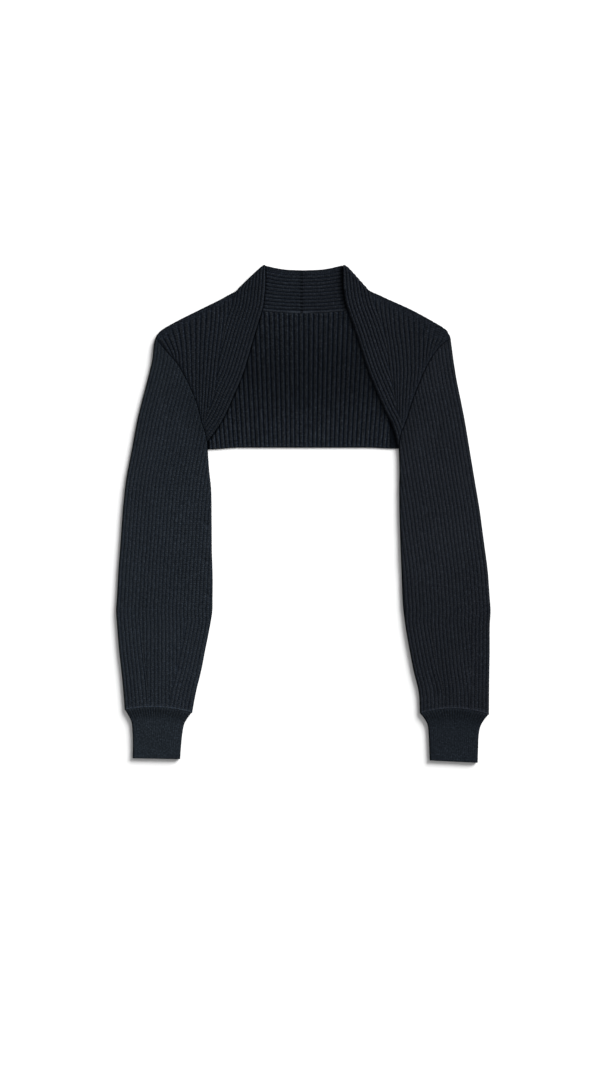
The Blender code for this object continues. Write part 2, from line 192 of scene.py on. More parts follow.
class Curve:
    """A smooth curve through points, read by its first value."""

    def __init__(self, points):
        xs, ys = zip(*sorted(points))
        self.xs, self.ys = xs, ys
        last = len(xs) - 1
        spans = [(max(k - 1, 0), min(k + 1, last)) for k in range(len(xs))]
        self.slopes = [(ys[high] - ys[low]) / (xs[high] - xs[low]) for low, high in spans]

    def at(self, x):
        x = clamp(x, self.xs[0], self.xs[-1])
        k = min(bisect_right(self.xs, x), len(self.xs) - 1) - 1
        span = self.xs[k + 1] - self.xs[k]
        t = (x - self.xs[k]) / span
        start = self.ys[k] * (1 + 2 * t) * (1 - t) ** 2 + self.slopes[k] * span * t * (1 - t) ** 2
        end = self.ys[k + 1] * t * t * (3 - 2 * t) - self.slopes[k + 1] * span * t * t * (1 - t)
        return start + end

    def slant(self, x):
        """How much longer a level step across is than the same step square to the curve."""
        return math.hypot(1.0, (self.at(x + 4.0) - self.at(x - 4.0)) / 8.0)


def clamp(value, low, high):
    return min(max(value, low), high)


def ease(t):
    """Turn a part from 0 to 1 into a soft start and stop."""
    t = clamp(t, 0.0, 1.0)
    return t * t * (3 - 2 * t)


def mix(a, b, t):
    return a + (b - a) * t


def ramp(value, start, end):
    """How far a value is on its way from start to end, from 0 to 1."""
    return ease((value - start) / (end - start))


def fading(distance, width):
    """Full at no distance, and nothing from a width on."""
    return 1 - ease(distance / width)


def cast(shadow, distance):
    """How dark a shadow is at a distance from its edge."""
    return shadow.dark * fading(distance - shadow.full, shadow.soft)


def dusk_at(dusk, y):
    """How dark a dusk is at y."""
    return dusk.dark * ramp(y, dusk.start, dusk.end)


def sided(pair, side):
    """The right or the left one of a pair of settings."""
    return pair[side == "left"]


def both(*points):
    """The curve of an edge on each side, from points of (y, right, left)."""
    curves = {}
    for column, side in enumerate(SIDES, 1):
        curves[side] = Curve([(point[0], point[column]) for point in points])
    return curves


# The edges as laid out: how far out from the middle each side lies
SHOULDER = both(
    (359.9, 57.3, 58.7), (357.0, 61.4, 63.5), (350.0, 69.0, 70.5), (338.0, 81.8, 81.2),
    (327.0, 92.8, 91.2), (322.0, 97.7, 96.4), (315.4, 110.2, 111.3), (310.3, 119.0, 122.0),
    (295.8, 148.3, 154.2), (280.6, 178.8, 182.6), (267.2, 202.8, 204.6), (259.0, 211.4, 211.0),
    (254.0, 213.8, 212.7),
)
ARMHOLE = both(
    (254.0, 213.8, 212.7), (243.0, 205.0, 199.0), (230.0, 194.0, 188.4), (217.0, 182.6, 180.6),
    (203.0, 174.3, 173.7), (190.0, 167.2, 168.4), (176.0, 160.9, 162.5), (160.0, 154.7, 156.8),
    (145.0, 150.6, 152.1), (130.0, 146.8, 147.2), (119.0, 142.7, 142.5), (107.0, 140.0, 139.3),
    (95.5, 138.6, 137.9),
)
FRONT_EDGE = both(
    (359.9, 55.2, 57.4), (355.0, 55.4, 57.6), (336.0, 55.1, 57.5), (317.0, 56.5, 58.8),
    (298.0, 59.1, 62.9), (280.0, 64.3, 69.0), (264.0, 69.2, 74.7), (247.0, 74.3, 80.2),
    (224.0, 80.9, 87.6), (205.0, 86.7, 94.1), (187.0, 93.6, 101.3), (170.0, 101.3, 108.4),
    (150.0, 109.9, 117.2), (131.0, 119.7, 126.8), (116.0, 130.0, 132.2), (104.0, 138.6, 135.2),
    (96.0, 139.0, 136.6),
)
FASHION_LINE = both(
    (322.0, 97.7, 96.4), (300.0, 104.5, 103.0), (278.0, 111.5, 111.5), (250.0, 117.5, 120.0),
    (224.0, 122.5, 122.5), (205.0, 124.5, 125.0), (190.0, 125.5, 128.5), (175.0, 128.5, 131.5),
    (153.0, 136.0, 134.5), (133.0, 144.0, 141.5), (104.0, 152.0, 150.0),
)
SLEEVE_OUTER = both(
    (254.0, 214.2, 213.1), (244.0, 216.6, 214.4), (222.6, 218.9, 217.2), (193.6, 225.5, 221.8),
    (164.6, 233.2, 227.7), (135.6, 240.3, 233.4), (92.1, 248.4, 240.7), (48.6, 256.6, 247.9),
    (5.1, 261.4, 255.2), (-38.4, 264.5, 261.0), (-81.9, 267.8, 266.8), (-120.0, 269.8, 269.6),
    (-141.0, 271.0, 271.0), (-162.0, 269.7, 269.8), (-198.0, 266.8, 269.7), (-241.4, 262.2, 269.0),
    (-286.0, 258.6, 268.6),
)
UNDERARM = both(
    (95.5, 138.6, 137.9), (63.1, 136.3, 138.9), (34.1, 133.4, 138.6), (-9.4, 132.7, 139.2),
    (-52.9, 132.4, 140.7), (-89.0, 131.3, 142.1), (-125.0, 131.4, 143.5), (-143.0, 131.9, 145.0),
    (-169.0, 136.3, 148.6), (-198.0, 142.1, 153.7), (-227.0, 147.9, 159.5), (-256.0, 155.2, 166.8),
    (-286.0, 161.0, 168.5),
)

# Guides for the ribs that come down from the shoulder: every third groove, counted outward from
# the line of decreases that the band's ribs end at
MAIN_RIBS = (
    both(
        (300.0, 115.0, 110.5), (285.0, 115.5, 113.0), (259.0, 118.0, 118.0), (240.0, 120.5, 120.4),
        (208.0, 124.7, 124.5), (185.0, 127.0, 127.5), (165.0, 129.5, 128.5), (121.0, 134.0, 130.0),
    ),
    both(
        (290.0, 133.0, 130.0), (275.0, 134.0, 131.2), (259.0, 135.7, 132.7), (244.0, 137.2, 135.6),
        (220.0, 139.2, 138.5), (208.0, 139.9, 139.2), (179.0, 142.0, 138.8), (150.0, 144.0, 138.2),
        (121.0, 146.5, 138.0),
    ),
    both(
        (290.0, 156.0, 150.8), (277.0, 156.0, 151.5), (259.0, 155.9, 153.0), (230.0, 155.9, 154.7),
        (200.0, 155.9, 155.4), (179.0, 155.9, 153.4), (121.0, 154.0, 150.0),
    ),
    both(
        (270.0, 181.5, 174.5), (259.0, 179.5, 173.5), (248.7, 177.6, 173.3), (230.0, 175.8, 173.0),
        (211.0, 174.5, 171.8), (190.0, 172.5, 169.0),
    ),
    both(
        (275.0, 212.0, 203.0), (259.0, 205.0, 196.0), (251.6, 201.6, 193.5), (244.3, 197.2, 190.5),
        (230.0, 190.0, 186.0),
    ),
)
GUIDE_STEP = 3

# The collar behind the neck, by how far out: its seam to the back, and its upper edge
COLLAR_NECK = Curve([
    (0.0, 290.7), (25.0, 291.2), (41.0, 292.1), (52.0, 293.0), (57.0, 293.6), (61.0, 294.2),
    (70.0, 297.5), (78.0, 302.0), (88.0, 311.5), (97.0, 321.5),
])
COLLAR_TOP = Curve([
    (0.0, 352.2), (25.0, 353.2), (41.0, 355.7), (52.0, 358.3), (57.0, 359.0), (61.0, 356.6),
    (70.0, 348.6), (78.0, 340.6), (88.0, 330.6), (97.0, 321.9),
])

# A cuff's seam and its lower end: the two ends of each, and how far it bows up between them
CuffLine = namedtuple("CuffLine", "outer_y inner_y bow")
CUFF_SEAM = {"right": CuffLine(-284.1, -288.6, 6.0), "left": CuffLine(-291.0, -289.2, 8.0)}
CUFF_END = {"right": CuffLine(-354.0, -355.4, 0.0), "left": CuffLine(-360.6, -357.2, 0.0)}

# A cuff's two edges, by the part of the way down from its seam
CUFF_OUTER = both(
    (0.0, 258.4, 268.4), (0.1, 254.2, 262.4), (0.24, 249.3, 256.6), (0.43, 247.5, 253.8),
    (0.74, 246.8, 252.9), (1.0, 247.3, 252.3),
)
CUFF_INNER = both(
    (0.0, 161.2, 168.3), (0.1, 166.8, 174.0), (0.24, 172.2, 179.4), (0.43, 174.9, 181.1),
    (0.74, 177.1, 182.1), (1.0, 178.3, 182.8),
)

# Soft creases and puckers in the upper cloth: x and y of the middle, the way they run in degrees
# from +X, half their length and width, and how far they rise or sink.
Crease = namedtuple("Crease", "x y angle length width height")
CREASES = [Crease(*row) for row in (
    (-139.0, -16.0, 155.0, 11.0, 3.5, -0.7), (-139.0, -69.0, 160.0, 12.0, 3.5, -0.7),
    (-138.0, -118.0, 150.0, 11.0, 3.5, -0.7), (-146.0, -42.0, 100.0, 16.0, 6.0, 0.4),
    (-145.0, -93.0, 98.0, 15.0, 6.0, 0.4), (-196.0, 120.0, 96.0, 60.0, 11.0, -0.35),
    (-222.0, 40.0, 94.0, 80.0, 12.0, 0.3), (-180.0, -20.0, 92.0, 70.0, 13.0, -0.3),
    (-236.0, -95.0, 88.0, 60.0, 10.0, -0.3), (-205.0, -215.0, 84.0, 45.0, 9.0, 0.4),
    (-180.0, -245.0, 76.0, 30.0, 6.0, -0.4), (-232.0, -250.0, 98.0, 28.0, 6.0, -0.4),
    (197.0, 115.0, 85.0, 60.0, 11.0, -0.35), (223.0, 30.0, 84.0, 80.0, 12.0, 0.3),
    (178.0, -35.0, 88.0, 70.0, 13.0, -0.3), (238.0, -110.0, 92.0, 60.0, 10.0, -0.3),
    (147.0, -60.0, 82.0, 22.0, 6.0, 0.4), (212.0, -220.0, 96.0, 45.0, 9.0, 0.4),
    (188.0, -248.0, 103.0, 30.0, 6.0, -0.4), (246.0, -252.0, 84.0, 28.0, 6.0, -0.4),
    (-118.0, 290.0, 40.0, 16.0, 7.0, -0.3), (124.0, 288.0, 140.0, 16.0, 7.0, -0.3),
    (-186.0, 244.0, 128.0, 20.0, 6.0, 0.3), (186.0, 246.0, 52.0, 20.0, 6.0, 0.3),
)]

# A place on the cloth: where it is, its rib and its course, how much of a finished edge it is (its
# ribs evened out, with a painted highlight), its depth: painted shade laid into its colour, full
# inside the garment and less in seams, at edges and in shadows, and how far its ribs are stretched
# flat.
Spot = namedtuple("Spot", "x y z wale course trim depth plain", defaults=(0.0,))


def rib(wale, fullness=0.75):
    """The height of a rib, from 0 in the groove to 1 on its crown."""
    return abs(math.sin(math.pi * wale)) ** fullness


def groove_below(depth, crown):
    """How far the cloth stands off the floor: not at all where its ribs rest on it."""
    return depth * max(0.0, 1 - crown / 0.88)


def rounded(distance, width):
    """How much of its thickness cloth has near a rounded edge."""
    t = clamp(distance / width, 0.0, 1.0)
    return math.sqrt(1 - (1 - t) ** 2)


def lie(x, y):
    """How far the upper cloth rises or sinks at a place."""
    height = 0.0
    for crease in CREASES:
        across, up = x - crease.x, y - crease.y
        if abs(across) < 3 * crease.length and abs(up) < 3 * crease.length:
            turn = math.radians(crease.angle)
            along = across * math.cos(turn) + up * math.sin(turn)
            aside = up * math.cos(turn) - across * math.sin(turn)
            reach = (along / crease.length) ** 2 + (aside / crease.width) ** 2
            if reach < 9.0:
                height += crease.height * math.exp(-reach)
    return height


def stations(start, end, count):
    """Places from start to end, close together near both ends."""
    length = abs(end - start)
    shrink = min(1.0, length / (8 * EDGE_STEPS[-1]))
    sign = 1.0 if end > start else -1.0
    edge = [sign * step * shrink for step in EDGE_STEPS]
    low, high = start + edge[-1], end - edge[-1]
    middle = [mix(low, high, k / count) for k in range(1, count)]
    return [start + step for step in edge] + middle + [end - step for step in reversed(edge)]


def crossing(low, high, beyond):
    """Where between low and high a test first holds."""
    for _ in range(40):
        middle = (low + high) / 2
        if beyond(middle):
            high = middle
        else:
            low = middle
    return low


def slot_height(upper, at_fold):
    """How high the inside of a flat tube lies: its two faces meet at its outer fold."""
    if at_fold:
        return (SLOT_TOP + SLOT_BOTTOM) / 2
    return SLOT_TOP if upper else SLOT_BOTTOM


def placed(name, mesh):
    """An object in the scene from a finished mesh."""
    data = bpy.data.meshes.new(name)
    mesh.to_mesh(data)
    mesh.free()
    made = bpy.data.objects.new(name, data)
    bpy.context.scene.collection.objects.link(made)
    return made


def shell(name, rows):
    """A closed shell of cloth from rows of spots, whose two sides meet."""
    mesh = bmesh.new()
    wales = mesh.loops.layers.uv.new("wales")
    layers = {name: mesh.verts.layers.float.new(name) for name in ("trim", "depth", "plain")}
    bmesh.ops.create_grid(mesh, x_segments=len(rows[0]) - 1, y_segments=len(rows) - 1, size=1.0)
    spots = [spot for row in rows for spot in row]
    for vertex, spot in zip(mesh.verts, spots):
        vertex.co = (spot.x * MM, spot.y * MM, spot.z * MM)
        for layer, values in layers.items():
            vertex[values] = getattr(spot, layer)
    for face in mesh.faces:
        face.smooth = True
        for loop in face.loops:
            spot = spots[loop.vert.index]
            loop[wales].uv = (spot.wale, spot.course)
    bmesh.ops.remove_doubles(mesh, verts=mesh.verts, dist=WELD * MM)
    bmesh.ops.dissolve_degenerate(mesh, edges=mesh.edges, dist=WELD * MM)
    bmesh.ops.recalc_face_normals(mesh, faces=mesh.faces)
    return placed(name, mesh)


# Sleeves


def sleeve_inner(side, y):
    """A sleeve's inner edge: the armhole, and below it the underarm."""
    if y > UNDERARM_Y:
        return ARMHOLE[side].at(y) + SEAM * ARMHOLE[side].slant(y)
    return UNDERARM[side].at(y)


def sleeve_place(side, y, down):
    """Where the line that starts down from a sleeve's outer edge lies at y, and its rib there."""
    outer = SLEEVE_OUTER[side].at(y)
    inner = sleeve_inner(side, y)
    if y > DECREASE_Y or down <= OUTER_BAND[side]:
        place = max(outer - down, inner)
        return place, (outer - place) / SLEEVE_RIB, outer, inner
    start = SLEEVE_OUTER[side].at(DECREASE_Y)
    width = start - UNDERARM[side].at(DECREASE_Y)
    if down > width - SLEEVE_BAND:
        place = clamp(inner + width - down, inner, inner + SLEEVE_BAND)
        return place, (inner + width - place) / SLEEVE_RIB, outer, inner
    start += SLEEVE_LEAN[side] * (inner - UNDERARM[side].at(DECREASE_Y))
    place = clamp(start - down, inner + SLEEVE_BAND, outer - OUTER_BAND[side])
    return place, (start - place) / SLEEVE_RIB, outer, inner


def line_y(line, part):
    """How far up a cuff's line lies, part of the way from its outer to its inner end."""
    return line.outer_y + (line.inner_y - line.outer_y) * part + line.bow * 4 * part * (1 - part)


def sleeve_spot(knit, side, y, down, upper):
    """A place on the outside of a sleeve."""
    place, wale, outer, inner = sleeve_place(side, y, down)
    crown = rib(wale)
    to_line = math.inf
    if y < DECREASE_Y:
        to_line = min(abs(outer - OUTER_BAND[side] - place), abs(place - inner - SLEEVE_BAND))
    crown *= mix(0.25, 1.0, ease(to_line / SLEEVE_LINE))
    to_edge = outer - place
    if y <= UNDERARM_Y:
        to_edge = min(to_edge, place - inner)
    to_cuff = y - SLEEVE_END_Y
    # The linking seam at the cuff: a raised bead, lighter by a painted highlight
    link = fading(abs(to_cuff - 0.9), 1.6) * (0.85 + 0.2 * math.sin(2.3 * wale))
    crown *= ramp(to_cuff, 1.0, 4.0)
    x = SIDES[side] * place
    full = rounded(to_edge, FOLD)
    if upper:
        height = TOP + knit.sleeve_rib_height * crown + lie(x, y) + 1.0 * link
        height -= 0.6 * (1 - rounded(to_cuff, 0.8))
        if y > UNDERARM_Y:
            to_seam = (place - inner) / ARMHOLE[side].slant(y)
            height -= SEAM_DROP * fading(to_seam, LIP)
    else:
        height = groove_below(knit.under_rib, crown)
    z = mix(MIDDLE, height, full)
    # Painted shade: a dusk along the sleeve, the turn of the edge, and shade beside the armhole
    # seam
    shade = dusk_at(SLEEVE_DUSK[side], y)
    if upper:
        shade = max(shade, cast(EDGE_TURN_SHADE, to_edge))
    if upper and y > UNDERARM_Y - 12.0:
        to_seam = (place - sleeve_inner(side, y)) / ARMHOLE[side].slant(y)
        low = ramp(y, *ARMHOLE_SHADOW_START) * (1 - ramp(y, *ARMHOLE_SHADOW_END))
        shade += low * cast(ARMHOLE_SHADOW[side], to_seam) * (1 - shade)
        shade = max(shade, cast(SEAM_SHADOW, to_seam))
    part = (outer - place) / (outer - inner)
    pull = clamp((CUFF_PULL_Y - y) / (CUFF_PULL_Y - SLEEVE_END_Y), 0.0, 1.0)
    lift = (line_y(CUFF_SEAM[side], part) + SEAM - SLEEVE_END_Y) * pull
    return Spot(x, y + lift, z, wale, y / knit.course, link, shade)


def sleeve_inside(side, y, down, upper, at_cuff):
    """A place on the inside of a sleeve."""
    place, wale, outer, inner = sleeve_place(side, y, down)
    low = inner if y > UNDERARM_Y else inner + FOLD_WALL
    part = clamp((outer - place) / (outer - inner), 0.0, 1.0)
    place = clamp(place, low, outer - FOLD_WALL) if outer - low > FOLD_WALL else place
    lift = (line_y(CUFF_SEAM[side], part) + SEAM - SLEEVE_END_Y) if at_cuff else 0.0
    z = slot_height(upper, down == 0.0)
    # Inside, the cloth takes full painted shade
    return Spot(SIDES[side] * place, y + lift, z, wale, y / INSIDE_COURSE, 0.0, 1.0)


def sleeve_lines(steps):
    """How far in from a sleeve's outer edge its lines start, at so many steps in a rib."""
    return [k * SLEEVE_RIB / steps for k in range(1, int(SLEEVE_WIDEST * steps / SLEEVE_RIB) + 1)]


def sleeve_rows(knit, side):
    """A sleeve, all round: its outside down to the cuff, then its inside back up."""
    above = [(down, True) for down in FOLD_STEPS]
    under = [(down, False) for down in FOLD_STEPS]
    above += [(down, True) for down in sleeve_lines(FINE)]
    under += [(down, False) for down in sleeve_lines(COARSE)]
    lines = above + under[::-1]
    width = SLEEVE_OUTER[side].at(UNDERARM_Y) - sleeve_inner(side, UNDERARM_Y)
    starts = []
    for down, _ in lines:

        def outside(y, down=down):
            return SLEEVE_OUTER[side].at(y) - down > sleeve_inner(side, y)

        if down >= width:
            starts.append(UNDERARM_Y)
        else:
            starts.append(crossing(SHOULDER_Y - 0.5, UNDERARM_Y, outside))
    columns = [stations(start, SLEEVE_END_Y, SLEEVE_ROWS) for start in starts]
    rows = []
    for places in zip(*columns):
        rows.append([sleeve_spot(knit, side, y, *line) for y, line in zip(places, lines)])
    for k in range(INSIDE_ROWS + 1):
        places = [mix(SLEEVE_END_Y, start, k / INSIDE_ROWS) for start in starts]
        rows.append([sleeve_inside(side, y, *line, k == 0) for y, line in zip(places, lines)])
    rows.append(rows[0])
    return rows


# Cuffs


def cuff_spot(knit, side, down, part, upper, inside=False):
    """A place on a cuff, by the parts of its way down and of its way across."""
    outer = CUFF_OUTER[side].at(down)
    inner = CUFF_INNER[side].at(down)
    wale = part * CUFF_RIBS
    top = line_y(CUFF_SEAM[side], part) + CUFF_LAP
    length = top - line_y(CUFF_END[side], part)
    y = top - length * down
    to_edge = min(part, 1 - part) * (outer - inner)
    if inside:
        place = clamp(mix(outer, inner, part), inner + FOLD_WALL, outer - FOLD_WALL)
        z = slot_height(upper, part == 0.0)
        # Inside, the cloth takes full painted shade
        return Spot(SIDES[side] * place, y, z, wale, y / knit.cuff_course, 0.0, 1.0)
    to_end = min(down, 1 - down) * length
    from_seam = length * down
    flat = ramp(from_seam, 8.0, 17.0)
    crown = rib(wale) * ease((to_end - CUFF_LAP * (down < 0.5)) / 1.6) * (1 - 0.6 * flat)
    x = SIDES[side] * mix(outer, inner, part)
    if upper:
        height = CUFF_TOP + knit.cuff_rib_height * crown + lie(x, y)
        height -= 1.3 * (1 - rounded(to_end, 1.4))
    else:
        height = groove_below(knit.under_rib / 2, crown)
    z = mix(MIDDLE, height, rounded(to_edge, FOLD))
    # A painted highlight along the cuff's end; painted shade under its seam and where its edges
    # turn
    hem = 0.1 * fading(abs((1 - down) * length - 1.2), 1.2)
    shade = cast(CUFF_SHADOW[side], from_seam) * ramp(from_seam, -1.0, 5.0)
    if upper:
        shade = max(shade, cast(EDGE_TURN_SHADE, to_edge))
    return Spot(x, y, z, wale, y / knit.cuff_course, hem, shade, 0.7 * flat)


def cuff_rows(knit, side):
    """A cuff, all round: its outside down to its end, then its inside back up."""
    steps = CUFF_RIBS * FINE
    lines = [(k / steps, True) for k in range(steps + 1)]
    steps = CUFF_RIBS * COARSE
    lines += [(k / steps, False) for k in range(steps, -1, -1)]
    length = CUFF_SEAM[side].outer_y - CUFF_END[side].outer_y
    rows = []
    for place in stations(0.0, length, CUFF_ROWS_SHOWN):
        rows.append([cuff_spot(knit, side, place / length, *line) for line in lines])
    for down in (1.0, 0.75, 0.5, 0.25, 0.12, 0.0):
        rows.append([cuff_spot(knit, side, down, *line, inside=True) for line in lines])
    rows.append(rows[0])
    return rows


# Fronts, each with its half of the collar


def body_armhole(side, y):
    """The armhole edge of the back and of a front, which reaches a little past the seam's line."""
    return ARMHOLE[side].at(y) - SEAM * ARMHOLE[side].slant(y)


def main_rib(side, wale, y):
    """How far out a rib from the shoulder lies at y, between the guides beside it."""
    k = int(clamp(wale // GUIDE_STEP, 0, len(MAIN_RIBS) - 2))
    low, high = MAIN_RIBS[k][side].at(y), MAIN_RIBS[k + 1][side].at(y)
    return mix(low, high, wale / GUIDE_STEP - k)


def front_row(knit, side, y):
    """A section of a front at y, all round, from its front edge out and back underneath."""
    over = y > SHOULDER_Y
    near = FRONT_EDGE[side].at(y)
    outer = SHOULDER[side].at(y) if over else body_armhole(side, y)
    outer = max(outer, near + 0.2)
    limit = outer - min(LIP, (outer - near) / 3)
    line = limit
    if y <= NECK_Y:
        line = clamp(FASHION_LINE[side].at(y), near, limit)
    band_pitch = BAND_RIB * FRONT_EDGE[side].slant(y)
    if over:
        outer += sided(knit.scallop, side) * (rib(outer / SHOULDER_RIB) - 0.5)
    middle = mix(TOP, FRONT_BASE, FRONT_CURL[side])
    rib_height = sided(knit.rib_height, side)
    roll_shade_part = 1 - ramp(y, *FRONT_ROLL_END)

    def spot(place, wale, height, trim=0.0):
        full = rounded(place - near, FRONT_LIP[side])
        x = SIDES[side] * place
        # Painted shade along the rolled front edge
        shade = roll_shade_part * cast(FRONT_ROLL_SHADE[side], place - near)
        return Spot(x, y, mix(middle, height, full), wale, y / knit.course, trim, shade)

    row = []
    for k in range(BAND_STEPS + 1):
        place = min(near + k * band_pitch / FINE, line)
        wale = (place - near) / band_pitch
        crown = rib(wale) * ease((line - place) / FRONT_LINE)
        # A painted highlight on the selvedge
        edge = SELVEDGE_HIGHLIGHT * fading(place - near - 1.0, 1.4)
        height = TOP + rib_height * crown + lie(SIDES[side] * place, y)
        row.append(spot(place, wale, height, edge))
    drop = SHOULDER_DROP if over else SEAM_DROP
    for k in MAIN_STEPS:
        wale = k / FINE
        place = clamp(main_rib(side, wale, y), line, limit)
        if over:
            width = SHOULDER_FADE[side] * mix(1.0, 0.7, ramp(y, 285.0, 310.0))
            fade = mix(0.08, 1.0, ramp(outer - place, 5.0, width))
            ridge_highlight = 0.0
        else:
            to_seam = (outer - place) / ARMHOLE[side].slant(y)
            fade = mix(0.3, 1.0, ease((to_seam - 1.2) / SEAM_FADE[side]))
            # A painted highlight beside the armhole seam, standing for a raised line
            ridge_highlight = SEAM_RIDGE_HIGHLIGHT * fading(abs(to_seam - 1.9), 1.3)
        crown = rib(wale) * ease((place - line) / FRONT_LINE) * ease((limit - place) / 0.8) * fade
        height = TOP + rib_height * crown + lie(SIDES[side] * place, y)
        row.append(spot(place, wale, height, ridge_highlight)._replace(plain=1 - fade))
    wale = row[-1].wale
    last = row[-1].z
    for part in LIP_PARTS:
        place = mix(limit, outer, part)
        height = mix(last, TOP - drop, 1 - rounded(1 - part, 1.0))
        # Painted shade on the turn of the shoulder's edge, and in the armhole seam below the
        # shoulder
        shade = part * (EDGE_TURN_SHADE if over else SEAM_SHADOW).dark
        flat = 1.0 if over else 0.0
        row.append(Spot(SIDES[side] * place, y, height, wale, y / knit.course, 0.0, shade, flat))
    for part in UNDER_PARTS:
        place = mix(outer, line, part)
        # Underneath, the cloth takes full painted shade
        row.append(Spot(SIDES[side] * place, y, FRONT_BASE, wale, y / knit.course, 0.0, 1.0))
    for k in range(BAND_STEPS, -1, -1):
        place = min(near + k * band_pitch / FINE, line)
        wale = (place - near) / band_pitch
        row.append(spot(place, wale, FRONT_BASE)._replace(depth=1.0 if k else 0.0))
    return row


def band_row(places):
    """A section of the band and the collar, all round, from (upper place, lower place) pairs.

    The two faces meet at the band's two edges, where the row's other spots gather.
    """
    upper, lower = [], []
    for k, (above, below) in enumerate(places):
        to_edge = min(k, BAND_STEPS - k) * BAND_RIB / FINE
        full = rounded(to_edge, LIP)
        centre = [(a + b) / 2 for a, b in zip(above[:3], below[:3])]
        for face, place in ((upper, above), (lower, below)):
            x, y, z = (mix(c, value, full) for c, value in zip(centre, place[:3]))
            face.append(Spot(x, y, z, *place[3:]))
    gathered = [upper[-1]] * (len(MAIN_STEPS) + len(LIP_PARTS) + len(UNDER_PARTS))
    return upper + gathered + lower[::-1]


def fold_place(side, k):
    """Where a line of the band meets the fold beside the neck, and the way in from there."""
    near = FRONT_EDGE[side]
    down = k * BAND_RIB / FINE

    def past(y):
        return near.at(y) + down < SHOULDER[side].at(y)

    y = FOLD_TOP_Y if past(FOLD_TOP_Y) else crossing(FOLD_TOP_Y, NECK_Y, past)
    out = min(near.at(y) + down, SHOULDER[side].at(NECK_Y))
    width = FOLD * min(1.0, (y - NECK_Y) / 6.0)
    way = Vector((-0.7 * min(1.0, down / 4.0), -0.7))
    return Vector((out, y)), way * width


def neck_row(knit, side, folds, t):
    """A section of the band beside the neck, part of the way from the shoulder to the fold."""
    shoulder = SHOULDER[side].at(NECK_Y)
    places = []
    for k, (fold, way) in enumerate(folds):
        end = fold + way
        y = mix(NECK_Y - 0.3, end.y, t)
        near, down = FRONT_EDGE[side].at(y), k * BAND_RIB / FINE
        x = SIDES[side] * mix(min(near + down, shoulder), end.x, t * t)
        wale, course = k / FINE, y / knit.course
        # A painted highlight on the selvedge
        trim = SELVEDGE_HIGHLIGHT * fading(k - 2.0, 2.0)
        crown = rib(wale) * ease((shoulder - near - down) / FRONT_LINE)
        height = TOP + sided(knit.rib_height, side) * crown + lie(x, y)
        above = (x, y, height, wale, course, trim, 0.0)
        below = (x, y, FRONT_BASE, wale, course, 0.0, 1.0)
        places.append((above, below))
    return band_row(places)


def fold_row(knit, side, folds, angle):
    """A section of the band at an angle of the fold, from its upper side, 0, to behind, 180."""
    sign = SIDES[side]
    turn = math.radians(angle)
    low = mix(FRONT_BASE, BACK_WALL, angle / 180.0)
    # Painted shade where the fold turns down
    shade = EDGE_TURN_SHADE.dark * ease(math.sin(turn) * 1.6 - 0.6)
    places = []
    for k, (fold, way) in enumerate(folds):
        wale = k / FINE
        crown = sided(knit.rib_height, side) * rib(wale) * ease((fold.y - NECK_Y) / FRONT_LINE)
        swell = 0.18 * math.sin(turn) * sided(knit.scallop, side) * rib(wale)
        top = fold + way * (1 - (1 + swell) * math.sin(turn))
        height = MIDDLE + (TOP + crown * max(math.cos(turn), 0.0) - MIDDLE) * math.cos(turn)
        if angle > 90:
            height = MIDDLE * (1 + math.cos(turn))
        inner = fold + way * (1 - INNER_FOLD / FOLD * math.sin(turn))
        course = (fold.y + angle / 9.0) / knit.course
        above = (sign * top.x, top.y, height, wale, course, 0.0, shade)
        below = (sign * inner.x, inner.y, low, wale, course, 0.0, 1.0)
        places.append((above, below))
    return band_row(places)


